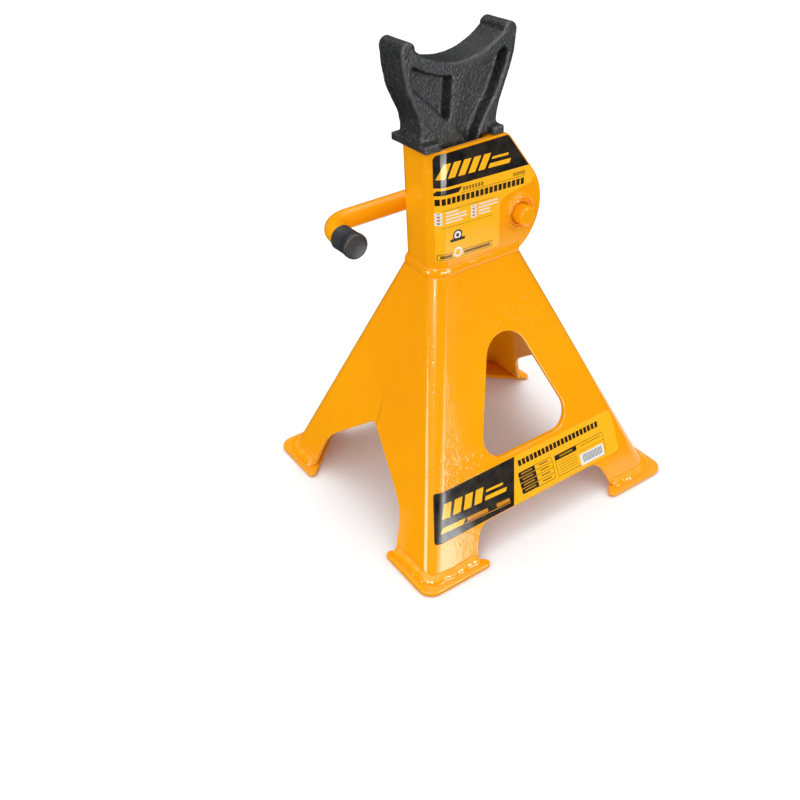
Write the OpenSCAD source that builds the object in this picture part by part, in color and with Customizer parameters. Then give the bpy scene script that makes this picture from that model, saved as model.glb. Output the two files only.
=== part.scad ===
// Ratchet jack stand: pressed sheet pyramid on four welded foot plates, a
// U-shaped head with a cast toothed bar sliding in it, and a bent release
// handle whose pawl drops under the teeth.
// Millimetres, +Z up, origin on the floor at the middle of the four feet.
// The windowed faces look along -Y (front) and +Y (rear), the head's closed
// web looks along -X (left), and the handle pivot is on the +X side (right).

/* [Base] */
// overall length over the foot plates, along X
base_len = 198; // [192:1:206]
// overall width over the foot plates, along Y
base_wid = 186; // [180:1:194]
// height of the pressed pyramid's top edge
base_h = 160; // [158:0.5:161]
// horizontal thickness of the pressed sheet
sheet_t = 3.2; // [2.4:0.1:3.4]
// foot plate thickness
foot_t = 3; // [2.5:0.5:4]
// length of a foot plate's arms along X
foot_len = 48; // [46:0.5:52]
// length of a foot plate's arms along Y
foot_wid = 46.5; // [45:0.5:50]
// how far a leg stands in from the foot plate's outer edge
leg_inset = 7; // [6:0.5:8]
// width of the fillet weld round each leg
weld_w = 4.2; // [3:0.2:4.6]

/* [Head] */
// outside width of the head channel, along Y
head_w = 34; // [33:0.5:36]
// head wall thickness
head_t = 3; // [2.5:0.25:3]
// outer radius of the head's upright corners
head_r = 10; // [8:0.5:12]
// height of the head's rim
head_top = 234.5; // [233:0.5:236]
// height of the handle pivot
pivot_z = 184; // [183:0.5:185]
// distance of the handle pivot from the middle, along X
pivot_x = 28; // [27.5:0.5:28.5]
// diameter of the guide crossbar
crossbar_d = 14; // [12:0.5:14]

/* [Ratchet bar] */
// thickness of the cast bar, along Y
bar_t = 21.5; // [20:0.5:23]
// distance between teeth
pitch = 16.5; // [16:0.1:16.6]
// web left between the pockets
bar_web = 6; // [5:0.5:8]
// width of the stop lugs across the head
lug_w = 33; // [31:0.5:34]
// diameter of the hole near the bar's bottom end
bar_hole_d = 14; // [10:0.5:15]

/* [Handle] */
// diameter of the handle rod
rod_d = 12; // [11:0.25:12]
// radial clearance between rod and pivot holes
pivot_gap = 0.07; // [0.04:0.01:0.1]
// distance of the handle arm from the middle, along Y
arm_y = 41.5; // [40:0.5:44]
// distance of the grip from the middle, along X
grip_x = 71; // [70:0.5:76]
// bend radius of the rod's centreline
bend_r = 16; // [14:0.5:18]
// outside diameter of the grip cap
cap_d = 15.4; // [15:0.2:17]

/* [Hidden] */
half_len = base_len / 2;
half_wid = base_wid / 2;
half_head = head_w / 2;
half_bar = bar_t / 2;
leg_x = half_len - leg_inset;     // leg corner at the foot plate
leg_y = half_wid - leg_inset;
leg_corner_r = 9;
web_x = -34;                      // outer face of the head's web
top_left_x = web_x - 1;           // pyramid top edge, web side
top_right_x = 31;                 // pyramid top edge, pivot side
top_y = half_head + 1;            // pyramid top edge, half width
shell_h = base_h - foot_t;
crossbar_x = 13.5;
crossbar_z = head_top - crossbar_d / 2;
head_weld_end_x = 28.2;
decal_t = 0.3;

bar_x = -31;                      // zero of the bar outlines, in X
lug_z = 203.2;                    // underside of the stop lugs, in the bar outlines
bar_z = head_top + 0.05 - lug_z;  // the lugs rest just above the rim
stem_top = 214;
first_tooth = 47;
last_tooth_index = 8;

rod_tip_y = 24.4;                 // full-size rod ends here on the front side
grip_end_y = 9;
cap_depth = 13;                   // length of grip inside the cap
cross_pin_d = 3.9;
cross_hole_d = 4;

orange = [0.98, 0.62, 0.04];
black_iron = [0.16, 0.16, 0.17];
rubber = [0.10, 0.10, 0.11];
steel = [0.62, 0.63, 0.65];
decal_yellow = [0.99, 0.72, 0.08];

// ---- Helpers ----

// outer faces of the pyramid at height z: left, right, and half width
function left_x(z) = -leg_x + (z - foot_t) * (top_left_x + leg_x) / shell_h;
function right_x(z) = leg_x - (z - foot_t) * (leg_x - top_right_x) / shell_h;
function face_y(z) = leg_y - (z - foot_t) * (leg_y - top_y) / shell_h;

// extrudes an [X, Z] outline from y0 to y1
module extrude_y(y0, y1)
  translate([0, y1, 0]) rotate([90, 0, 0]) linear_extrude(y1 - y0) children();

// extrudes a [Y, Z] outline from x0 to x1
module extrude_x(x0, x1)
  translate([x0, 0, 0]) rotate([90, 0, 90]) linear_extrude(x1 - x0) children();

// cylinder along Y, centred
module y_cylinder(r, h) rotate([90, 0, 0]) cylinder(r = r, h = h, center = true, $fn = 64);

module at_pivot() translate([pivot_x, 0, pivot_z]) children();

// slanted pin, or its hole, through rod and pawl
module cross_pin(d, h) rotate([0, 45, 0]) cylinder(d = d, h = h, center = true, $fn = 32);

// ---- Pressed base ----

// the pyramid as a solid block, drawn in by inset all round
module pyramid(inset, z0, z1) {
  slice_h = 0.001;
  // [height the plan is taken at, height the slice stands at]
  hull() for (level = [[z0, z0], [z1, z1 - slice_h]])
    for (x = [left_x(level[0]) + leg_corner_r, right_x(level[0]) - leg_corner_r],
         y = [-face_y(level[0]) + leg_corner_r, face_y(level[0]) - leg_corner_r])
      translate([x, y, level[1]]) cylinder(r = leg_corner_r - inset, h = slice_h, $fn = 32);
}

// rounded triangular window, [X, Z]
module window_2d() {
  mid_x = 1.5;
  hull() {
    translate([mid_x, 104]) circle(r = 16, $fn = 64);
    for (side = [-1, 1]) translate([mid_x + 20 * side, 64.5]) circle(r = 12, $fn = 64);
  }
}

// arch under the windowed faces, [X, Z]
module face_arch_2d() polygon([
  [-57, -1], [-55.2, 4], [-53.2, 10], [-50.6, 15.4], [-47.4, 19.2], [-43.4, 21.1], [-40, 21.5],
  [41.6, 21.5], [45, 21.1], [49, 19.2], [52.2, 15.4], [54.8, 10], [56.8, 4], [58.6, -1]]);

// arch under the plain faces, [Y, Z] before its shift
module side_arch_2d() polygon([
  [-51.5, -1], [-50.2, 6], [-48.4, 14], [-46.2, 21], [-42.6, 27.4], [-37.4, 32.8], [-30, 38.6],
  [-4, 58.6], [0, 60.6], [4, 58.6],
  [30, 38.6], [37.4, 32.8], [42.6, 27.4], [46.2, 21], [48.4, 14], [50.2, 6], [51.5, -1]]);

module base_shell() {
  // the side arches sit off the middle, so each pressed half has one wide leg
  arch_shift = 3;
  arch_lift = 1.5;
  difference() {
    intersection() {
      pyramid(0, foot_t - 1, base_h + 1);
      translate([-half_len, -half_wid, foot_t]) cube([base_len, base_wid, shell_h]);
    }
    pyramid(sheet_t, foot_t - 2, base_h + 2);
    extrude_y(-half_wid, half_wid) window_2d();
    extrude_y(-half_wid, half_wid) face_arch_2d();
    extrude_x(-half_len, 0) translate([arch_shift, arch_lift]) side_arch_2d();
    extrude_x(0, half_len) translate([-arch_shift, arch_lift]) side_arch_2d();
  }
}

// the halves meet at the middle with a narrow gap
half_gap = 0.06;
module base_half(y0) color(orange) intersection() {
  base_shell();
  translate([-half_len, y0, 0]) cube([base_len, half_wid - half_gap, base_h + 10]);
}
module base_shell_front() base_half(-half_wid);
module base_shell_rear() base_half(half_gap);

// weld laid inside a plain face, up the joint of the two halves
module seam_weld(side) {
  gap = 0.03;
  depth = 1.2;
  half_w = 2.6;
  dot = 0.001;
  color(orange) hull() for (z = [66, base_h - 4], y_side = [-1, 1]) {
    x = side < 0 ? left_x(z) + sheet_t : right_x(z) - sheet_t;
    translate([x - side * gap, y_side * half_w, z]) cube(dot, center = true);
    translate([x - side * (gap + depth), y_side * half_w * 0.4, z]) cube(dot, center = true);
  }
}
module seam_weld_left() seam_weld(-1);
module seam_weld_right() seam_weld(1);

// one three-cornered plate, its outer corner at the origin towards +X +Y
module foot_plate() {
  corner_r = 9;
  tip_r = 3;
  color(orange) linear_extrude(foot_t) hull() {
    translate([-corner_r, -corner_r]) circle(r = corner_r, $fn = 48);
    translate([-foot_len + tip_r, -tip_r]) circle(r = tip_r, $fn = 32);
    translate([-tip_r, -foot_wid + tip_r]) circle(r = tip_r, $fn = 32);
  }
}
module foot_plate_front_left()
  translate([-half_len, -half_wid, 0]) mirror([1, 0, 0]) mirror([0, 1, 0]) foot_plate();
module foot_plate_front_right()
  translate([half_len, -half_wid, 0]) mirror([0, 1, 0]) foot_plate();
module foot_plate_rear_left()
  translate([-half_len, half_wid, 0]) mirror([1, 0, 0]) foot_plate();
module foot_plate_rear_right()
  translate([half_len, half_wid, 0]) foot_plate();

// fillet weld round the outside of one leg; the sides are -1 or 1
module foot_weld(side_x, side_y) {
  edge_h = 0.6;
  corner = leg_corner_r;
  reach_x = 23.5;
  reach_y = side_x * side_y > 0 ? 22 : 18.5;
  color(orange) difference() {
    translate([side_x * leg_x, side_y * leg_y, foot_t]) scale([side_x, side_y, 1]) hull()
      for (spot = [[-corner, -corner], [-reach_x, -corner], [-corner, -reach_y]])
        translate([spot[0], spot[1], 0]) {
          cylinder(r = corner + weld_w - edge_h, h = edge_h, $fn = 32);
          cylinder(r = corner - 1, h = weld_w, $fn = 32);
        }
    pyramid(-0.02, foot_t - 1, base_h);
  }
}
module foot_weld_front_left() foot_weld(-1, -1);
module foot_weld_front_right() foot_weld(1, -1);
module foot_weld_rear_left() foot_weld(-1, 1);
module foot_weld_rear_right() foot_weld(1, 1);

// ---- Head ----

// solid plan of the head, grown all round and cut square at end_x
module head_plan(grow, end_x) {
  r = head_r + grow;
  left = web_x - grow;
  front = -half_head - grow;
  width = head_w + 2 * grow;
  translate([left + r, front]) square([end_x - left - r, width]);
  translate([left, front + r]) square([r + 1, width - 2 * r]);
  for (side = [-1, 1])
    translate([web_x + head_r, side * (half_head - head_r)]) circle(r = r, $fn = 96);
}

// side view of the head's walls with their rounded ears, from y0 to y1
module head_profile(y0, y1) {
  top_centre = [15.2, head_top - 6];
  top_r = 6;
  ear_centre = [11, 188.5];
  ear_r = 33;
  line = top_centre - ear_centre;
  // direction square to the line that touches both circles
  tangent_a = atan2(line[1], line[0]) - acos((ear_r - top_r) / norm(line));
  normal = [cos(tangent_a), sin(tangent_a)];
  intersection() {
    union() {
      extrude_y(y0, y1) translate([web_x - 1, base_h - 1])
        square([top_centre[0] - web_x + 1, head_top - base_h + 1]);
      extrude_y(y0, y1) translate(top_centre) circle(r = top_r, $fn = 48);
      extrude_y(y0, y1) translate(ear_centre) circle(r = ear_r, $fn = 128);
      extrude_y(y0, y1) polygon([
        top_centre - [3, 0], top_centre + (top_r - 0.01) * normal,
        ear_centre + (ear_r - 0.01) * normal, ear_centre - [3, 0]]);
    }
    translate([web_x - 1, y0, base_h]) cube([100, y1 - y0, head_top - base_h]);
  }
}

module head_channel() color(orange) difference() {
  intersection() {
    translate([0, 0, base_h]) linear_extrude(head_top - base_h) difference() {
      head_plan(0, 60);
      head_plan(-head_t, 61);
    }
    head_profile(-half_head - 1, half_head + 1);
  }
  at_pivot() y_cylinder(r = rod_d / 2 + pivot_gap, h = head_w + 4);
}

// stepped weld bead between the head and the pyramid's top edge
module head_weld() {
  lower_h = 3.4;
  upper_h = 1.8;
  color(orange) difference() {
    union() {
      translate([0, 0, base_h]) linear_extrude(lower_h) head_plan(1, head_weld_end_x);
      translate([0, 0, base_h + lower_h]) linear_extrude(upper_h) head_plan(0.6, head_weld_end_x);
    }
    translate([0, 0, base_h - 1]) linear_extrude(10) head_plan(0, 60);
  }
}

module guide_crossbar() color(orange) translate([crossbar_x, 0, crossbar_z])
  y_cylinder(r = crossbar_d / 2, h = head_w - 2 * head_t);

// welded collar round the pivot hole; outline is [radius, height off the wall]
module pivot_collar(side) color(orange)
  translate([pivot_x, side * half_head, pivot_z]) rotate([-90 * side, 0, 0])
    rotate_extrude($fn = 96) polygon([
      [6.9, 0], [13, 0], [12.8, 0.5], [12.1, 1.1], [10.9, 1.5],
      [9.6, 1.5], [8.4, 1], [7.6, 1.1], [6.9, 0.8]]);
module pivot_collar_front() pivot_collar(-1);
module pivot_collar_rear() pivot_collar(1);

// ---- Handle and pawl ----

// quarter bend of the rod about the origin, from +X to +Y
module rod_bend()
  rotate_extrude(angle = 90, $fn = 128) translate([bend_r, 0]) circle(d = rod_d, $fn = 64);

// bent round rod: pivot pin, arm and grip in one piece
module handle_rod() {
  bend_y = arm_y - bend_r;
  span = pivot_x + grip_x;
  color(orange) at_pivot() difference() {
    union() {
      // pivot pin and its tapered tip
      translate([0, bend_y, 0]) rotate([90, 0, 0])
        cylinder(d = rod_d, h = bend_y + rod_tip_y, $fn = 64);
      translate([0, -rod_tip_y, 0]) rotate([90, 0, 0])
        cylinder(d1 = rod_d, d2 = rod_d - 2, h = 1, $fn = 64);
      // arm between its two bends
      translate([-bend_r, bend_y, 0]) rod_bend();
      translate([-bend_r, arm_y, 0]) rotate([0, -90, 0])
        cylinder(d = rod_d, h = span - 2 * bend_r, $fn = 64);
      translate([-span + bend_r, bend_y, 0]) rotate([0, 0, 90]) rod_bend();
      // grip
      translate([-span, bend_y, 0]) rotate([90, 0, 0])
        cylinder(d = rod_d, h = bend_y - grip_end_y, $fn = 64);
    }
    cross_pin(d = cross_hole_d, h = 40);
  }
}

// cap over the grip's end; outline is [radius, distance from the mouth]
module grip_cap() {
  cap_r = cap_d / 2;
  color(rubber) translate([-grip_x, grip_end_y + cap_depth, pivot_z]) rotate([90, 0, 0])
    difference() {
      rotate_extrude($fn = 96) polygon([
        [0, 0], [cap_r - 0.8, 0], [cap_r - 0.2, 0.6], [cap_r - 0.2, 12.4],
        [cap_r, 13], [cap_r, 15.4], [cap_r - 0.7, 16.2], [cap_r - 1.6, 16.2],
        [cap_r - 1.9, 15.8], [0.9, 15.8], [0, 15.3]]);
      translate([0, 0, -1]) cylinder(d = rod_d + 0.04, h = cap_depth + 1.02, $fn = 64);
    }
}

// tooth-shaped catch pinned to the rod inside the head; outline is [X, Z] off the pivot
module pawl() color(steel) difference() {
  union() {
    at_pivot() y_cylinder(r = 12, h = 24);
    extrude_y(-9, 9) translate([pivot_x, pivot_z]) rotate(-10) polygon([
      [-29.2, 20.6], [-28.7, 21.2], [-17.5, 24.6], [2.0, 11.8],
      [0, 0], [-11.4, -3.6], [-25.4, 11.4]]);
  }
  at_pivot() y_cylinder(r = rod_d / 2 + 0.03, h = 30);
  at_pivot() cross_pin(d = cross_hole_d, h = 40);
}

// cross pin that locks the pawl to the rod
module pawl_pin() color(steel) at_pivot() cross_pin(d = cross_pin_d, h = 23);

// ---- Ratchet bar: outlines are [across, up] the bar ----

// one tooth, up from its own station
tooth = [[28.3, -3.0], [28.6, -2.0], [32.4, -0.7], [33.1, -0.1], [33.3, 0.7], [33.1, 1.7]];

// toothed stem
module stem_2d() {
  teeth = [for (i = [0:last_tooth_index], point = tooth) point + [0, first_tooth + pitch * i]];
  last_tooth = first_tooth + pitch * last_tooth_index;
  polygon(concat(
    [[1.4, 0.8], [2.2, 0], [30.4, 0], [31.3, 0.8], [32, 31.4], [31.6, 32.6]],
    teeth,
    [[33.3, last_tooth + 3.4], [34, last_tooth + 9], [34, stem_top], [1.4, stem_top]]));
}

cradle_centre = [22, 290.7];

// cradle with its two horns and wings
module saddle_2d() {
  difference() {
    polygon([
      [1.4, lug_z], [-4.6, lug_z], [-5, 208.4], [-4.4, 214], [-5.6, 220.6], [-9.2, 228.6],
      [-12.6, 236.4], [-14.6, 248], [-15.1, 256.3], [-10.7, 260],
      [54.5, 259], [59.1, 255], [57.6, 244], [54.8, 235.6], [48.2, 220], [46.4, 214],
      [45.6, 208.4], [45.4, lug_z], [34, lug_z]]);
    translate(cradle_centre) circle(r = 45, $fn = 192);
    translate([-6.3, 258]) square([56.4, 10]);
  }
  translate([-10.7, 256.3]) circle(r = 4.4, $fn = 48);
  translate([54.5, 255]) circle(r = 4.6, $fn = 48);
}

// left and right pockets under the cradle
module saddle_pockets_2d() difference() {
  union() {
    polygon([[-8.6, 236.6], [-9.8, 244], [-8.6, 250], [15.8, 250], [16.1, 237.2], [13.8, 214.6]]);
    polygon([
      [18.6, 211.6], [26.2, 239.7], [26.6, 250], [51, 250], [53.6, 245], [51.4, 237.1],
      [45.4, 224.6], [38.4, 214.8], [33.6, 206], [31.2, 198.2], [28.4, 197.6]]);
  }
  translate(cradle_centre) circle(r = 51.6, $fn = 192);
}

// upper and lower pockets in the stem
module stem_pockets_2d() {
  polygon([
    [7.2, 52.6], [8.6, 51.2], [20, 51.2], [21.4, 52.6],
    [23.6, 180.4], [21.6, 182.4], [8.6, 187], [7.2, 186]]);
  polygon([
    [5.8, 6.6], [7.2, 5.2], [26.4, 5.2], [27.4, 6.6], [28.3, 30.6],
    [19.4, 45.2], [17.6, 46.2], [7.2, 46.2], [5.8, 44.8]]);
}

// stop lugs, points up from the lugs' underside
left_lug = [[-6.6, 0.6], [-6, 0], [4, 0], [4, 4.8], [-6, 4.8], [-6.6, 4.2]];
right_lug = [[39.4, 0], [46.4, 0], [47, 0.6], [47, 4.2], [46.4, 4.8], [39.4, 4.8]];

module ratchet_bar() color(black_iron) translate([bar_x, 0, bar_z]) difference() {
  union() {
    extrude_y(-half_bar, half_bar) union() {
      stem_2d();
      saddle_2d();
    }
    for (lug = [left_lug, right_lug])
      extrude_y(-lug_w / 2, lug_w / 2) polygon([for (point = lug) point + [0, lug_z]]);
  }
  // pockets from both faces down to the web
  for (span = [[-half_bar - 0.02, -bar_web / 2], [bar_web / 2, half_bar + 0.02]])
    extrude_y(span[0], span[1]) {
      stem_pockets_2d();
      saddle_pockets_2d();
    }
  translate([15.5, 0, 14.7]) y_cylinder(r = bar_hole_d / 2, h = 40);
}

// ---- Decals ----

// sticker on the head's front wall, turned a little round the corner
module head_decal() color(decal_yellow) intersection() {
  translate([0, 0, base_h]) linear_extrude(80) difference() {
    head_plan(decal_t, 60);
    head_plan(0, 61);
    translate([-60, -half_head + head_r * 0.45]) square([160, 80]);
  }
  intersection() {
    head_profile(-half_head - 2, 0);
    extrude_y(-half_head - 2, 0) polygon([
      [-33.2, 232.2], [-31.4, 233.4], [60, 233.4], [60, 200],
      [12.8, 196.4], [12.8, 168.4], [-33.2, 168.4]]);
  }
  // clear of the pivot collar
  difference() {
    translate([-60, -60, 150]) cube([160, 120, 120]);
    at_pivot() y_cylinder(r = 13, h = 60);
  }
}

// sticker across the lower band of the front face; outline is [X, distance up the slope]
module base_decal() {
  face_angle = atan2(shell_h, leg_y - top_y);
  low = (23 - foot_t) / sin(face_angle);
  high = (49.4 - foot_t) / sin(face_angle);
  color(decal_yellow) translate([0, -leg_y, foot_t]) rotate([face_angle, 0, 0])
    translate([0, 0, 0.02]) linear_extrude(decal_t) polygon([
      [-76.2, low], [64, low], [67.4, low + 1.6], [68.4, low + 4.5], [68.4, low + 15],
      [64.8, high - 2.4], [62.4, high], [-66, high]]);
}

base_shell_front();
base_shell_rear();
seam_weld_left();
seam_weld_right();
foot_plate_front_left();
foot_plate_front_right();
foot_plate_rear_left();
foot_plate_rear_right();
foot_weld_front_left();
foot_weld_front_right();
foot_weld_rear_left();
foot_weld_rear_right();
head_channel();
head_weld();
guide_crossbar();
pivot_collar_front();
pivot_collar_rear();
handle_rod();
grip_cap();
pawl();
pawl_pin();
ratchet_bar();
head_decal();
base_decal();
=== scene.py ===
"""A jack stand: pressed pyramid base, channel head, bent lever and toothed cast bar.

The stand rests on z = 0 and is centred on the origin. +Z is up, the front faces -Y, and
left is -X. Sizes are in millimetres unless noted; meshes are scaled to metres when made.
"""
import bpy, bmesh, math
import numpy as np
from mathutils import Vector, Matrix, noise


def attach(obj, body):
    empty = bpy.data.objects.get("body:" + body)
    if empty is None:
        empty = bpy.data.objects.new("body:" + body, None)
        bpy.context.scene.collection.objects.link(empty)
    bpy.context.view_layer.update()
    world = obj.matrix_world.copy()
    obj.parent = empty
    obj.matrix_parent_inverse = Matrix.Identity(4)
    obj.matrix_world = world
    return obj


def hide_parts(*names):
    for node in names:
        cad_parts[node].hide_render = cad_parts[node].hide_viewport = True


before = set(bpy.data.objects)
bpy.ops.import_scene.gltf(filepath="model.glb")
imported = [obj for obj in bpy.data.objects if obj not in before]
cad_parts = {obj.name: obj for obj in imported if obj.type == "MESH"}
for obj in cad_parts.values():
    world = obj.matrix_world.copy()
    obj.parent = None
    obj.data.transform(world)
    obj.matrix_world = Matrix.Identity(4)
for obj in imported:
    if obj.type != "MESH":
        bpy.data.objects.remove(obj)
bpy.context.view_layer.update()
MM = 0.001
Y_AXIS = (0, 1, 0)

# pyramid: half sizes at its foot, then where its sides stand at the top
SKIRT_X, SKIRT_Y = 92.0, 86.0
TOP_LEFT_X, TOP_RIGHT_X, TOP_HALF_Y = -35.0, 31.0, 18.0
BASE_TOP, FOOT_T, SHEET_T, CORNER_R = 160.0, 3.0, 3.2, 9.0
# how far each side moves in per millimetre of height
LEAN_LEFT = (TOP_LEFT_X + SKIRT_X) / (BASE_TOP - FOOT_T)
LEAN_RIGHT = (SKIRT_X - TOP_RIGHT_X) / (BASE_TOP - FOOT_T)
LEAN_Y = (SKIRT_Y - TOP_HALF_Y) / (BASE_TOP - FOOT_T)

# foot plates: outer corner, lengths of the two edges, radii at the corner and the tips
PLATE_X, PLATE_Y = 99.0, 93.0
PLATE_LENGTH_X, PLATE_LENGTH_Y = 48.0, 46.5
PLATE_CORNER_R, PLATE_TIP_R = 9.0, 3.0

# head: a channel closed by a web on the left and open to the right
WEB_X, HEAD_HALF_Y, HEAD_T, HEAD_R, HEAD_TOP = -34.0, 17.0, 3.0, 10.0, 234.5
HEAD_CUT_X = 60.0  # beyond the ears, so that the ear outline trims the walls
EAR_TIP, EAR_TIP_R = (15.2, HEAD_TOP - 6), 6.0
EAR_BULGE, EAR_BULGE_R = (11.0, 188.5), 33.0
PIVOT_X, PIVOT_Z = 28.0, 184.0


# ---------------------------------------------------------------- mesh tools
def mesh_obj(name, verts, faces):
    me = bpy.data.meshes.new(name)
    me.from_pydata([(x * MM, y * MM, z * MM) for x, y, z in verts], [], faces)
    me.validate()
    bm = bmesh.new()
    bm.from_mesh(me)
    bmesh.ops.recalc_face_normals(bm, faces=bm.faces)
    bm.to_mesh(me)
    bm.free()
    return link_object(name, me)


def link_object(name, data):
    o = bpy.data.objects.new(name, data)
    bpy.context.scene.collection.objects.link(o)
    return o


def bake(o):
    """apply every modifier"""
    dg = bpy.context.evaluated_depsgraph_get()
    me = bpy.data.meshes.new_from_object(
        o.evaluated_get(dg), preserve_all_data_layers=True, depsgraph=dg)
    old = o.data
    o.modifiers.clear()
    o.data = me
    bpy.data.meshes.remove(old)
    return o


def prism(name, outline, axis, start, end, grow=0.0):
    """extrude an outline along an axis; the end outline stands out by grow"""
    def place(p, d):
        return {"x": (d, p[0], p[1]), "y": (p[0], d, p[1]), "z": (p[0], p[1], d)}[axis]
    far = offset_outline(outline, grow) if grow else outline
    n = len(outline)
    verts = [place(p, start) for p in outline] + [place(p, end) for p in far]
    faces = [list(range(n)), list(range(n, 2 * n))]
    faces += [[i, (i + 1) % n, n + (i + 1) % n, n + i] for i in range(n)]
    return mesh_obj(name, verts, faces)


def offset_outline(points, distance):
    """move a closed outline outwards along its mitred corners"""
    n = len(points)
    pairs = zip(points, points[1:] + points[:1])
    turn = 1 if sum(a[0] * b[1] - b[0] * a[1] for a, b in pairs) > 0 else -1
    out = []
    for i in range(n):
        before, here, after = (Vector(points[k]) for k in (i - 1, i, (i + 1) % n))
        u, w = (here - before).normalized(), (after - here).normalized()
        mitre = Vector((u.y, -u.x)) * turn + Vector((w.y, -w.x)) * turn
        reach = distance
        if mitre.length > 1e-6:
            reach = distance / max(0.35, mitre.length / 2)
        out.append(tuple(here + mitre.normalized() * reach))
    return out


def boolean(o, tools, operation="DIFFERENCE"):
    for tool in tools:
        m = o.modifiers.new("b", "BOOLEAN")
        m.operation, m.solver, m.object = operation, "EXACT", tool
    bake(o)
    for tool in tools:
        bpy.data.objects.remove(tool)
    return o


def tidy(o):
    """weld near points and merge flat faces left by a boolean"""
    bm = bmesh.new()
    bm.from_mesh(o.data)
    bmesh.ops.remove_doubles(bm, verts=bm.verts, dist=2e-6)
    bmesh.ops.dissolve_degenerate(bm, edges=bm.edges, dist=2e-6)
    bmesh.ops.dissolve_limit(
        bm, angle_limit=math.radians(0.1), verts=bm.verts, edges=bm.edges)
    bmesh.ops.recalc_face_normals(bm, faces=bm.faces)
    bm.to_mesh(o.data)
    bm.free()


def round_edges(o, width, segments=3):
    m = o.modifiers.new("r", "BEVEL")
    m.width, m.segments = width * MM, segments
    m.limit_method, m.angle_limit = "ANGLE", math.radians(40)
    m.use_clamp_overlap = True
    m.miter_outer = "MITER_SHARP"
    bake(o)


def smooth(o, weighted=True):
    for p in o.data.polygons:
        p.use_smooth = True
    if weighted:
        m = o.modifiers.new("w", "WEIGHTED_NORMAL")
        m.mode, m.weight, m.keep_sharp = "FACE_AREA", 60, False
        bake(o)
    return o


def turner(origin, axis):
    """point(radius, along, angle) about an axis, the angle counted from +Z

    On a slanting axis the rings keep to vertical planes, so they come out oval.
    """
    centre, along = Vector(origin), Vector(axis).normalized()
    up = Vector((0, 0, 1))
    side = along.cross(up)

    def point(r, h, t):
        return tuple(centre + along * h + (up * math.cos(t) + side * math.sin(t)) * r)
    return point


def lathe(name, profile, origin, axis, steps, wobble=None):
    """turn (radius, along) pairs round an axis; a zero radius makes a pole"""
    point = turner(origin, axis)
    verts, faces, rings = [], [], []
    for r, h in profile:
        first = len(verts)
        if r < 1e-6:
            verts.append(point(0, h, 0))
        else:
            for i in range(steps):
                t = 2 * math.pi * i / steps
                rr, hh = wobble(r, h, t) if wobble else (r, h)
                verts.append(point(rr, hh, t))
        rings.append(list(range(first, len(verts))))
    for p, q in zip(rings, rings[1:]):
        for i in range(steps):
            j = (i + 1) % steps
            if len(p) == 1:
                faces.append([p[0], q[i], q[j]])
            elif len(q) == 1:
                faces.append([p[i], q[0], p[j]])
            else:
                faces.append([p[i], q[i], q[j], p[j]])
    faces += [ring for ring in (rings[0], rings[-1]) if len(ring) > 1]
    return mesh_obj(name, verts, faces)


def cylinder(name, radius, half_length, x, z, steps, axis=Y_AXIS):
    return lathe(name, [(radius, -half_length), (radius, half_length)], (x, 0, z), axis, steps)


def sweep(name, stations, closed=False):
    """skin a list of closed sections; open sweeps are capped"""
    n, count = len(stations[0]), len(stations)
    verts = [p for section in stations for p in section]
    faces = []
    for i in range(count if closed else count - 1):
        j = (i + 1) % count
        for k in range(n):
            m = (k + 1) % n
            faces.append([i * n + k, i * n + m, j * n + m, j * n + k])
    if not closed:
        faces += [list(range(n)), list(range(len(verts) - n, len(verts)))]
    return mesh_obj(name, verts, faces)


def hull(points):
    """convex hull"""
    points = sorted(set((round(p[0], 5), round(p[1], 5)) for p in points))

    def half_hull(ordered):
        h = []
        for p in ordered:
            while len(h) > 1 and ((h[-1][0] - h[-2][0]) * (p[1] - h[-2][1])
                                  - (h[-1][1] - h[-2][1]) * (p[0] - h[-2][0])) <= 1e-9:
                h.pop()
            h.append(p)
        return h[:-1]
    return half_hull(points) + half_hull(points[::-1])


def arc_points(centre, radius, steps, start=0, end=360):
    """points round a circle, angles in degrees; a full turn doesn't repeat its first point"""
    count = steps if abs(end - start) >= 360 else steps + 1
    angles = [math.radians(start + (end - start) * i / steps) for i in range(count)]
    return [(centre[0] + radius * math.cos(t), centre[1] + radius * math.sin(t))
            for t in angles]


def noise_at(x, y, z):
    return noise.noise(Vector((x, y, z)))


def running_lengths(points):
    runs = [0.0]
    for a, b in zip(points, points[1:]):
        runs.append(runs[-1] + (Vector(b) - Vector(a)).length)
    return runs


def end_taper(run, total, least, length):
    """size factor of a weld bead, falling to least within length of either end"""
    return least + (1 - least) * math.sqrt(min(1.0, min(run, total - run) / length))


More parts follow.
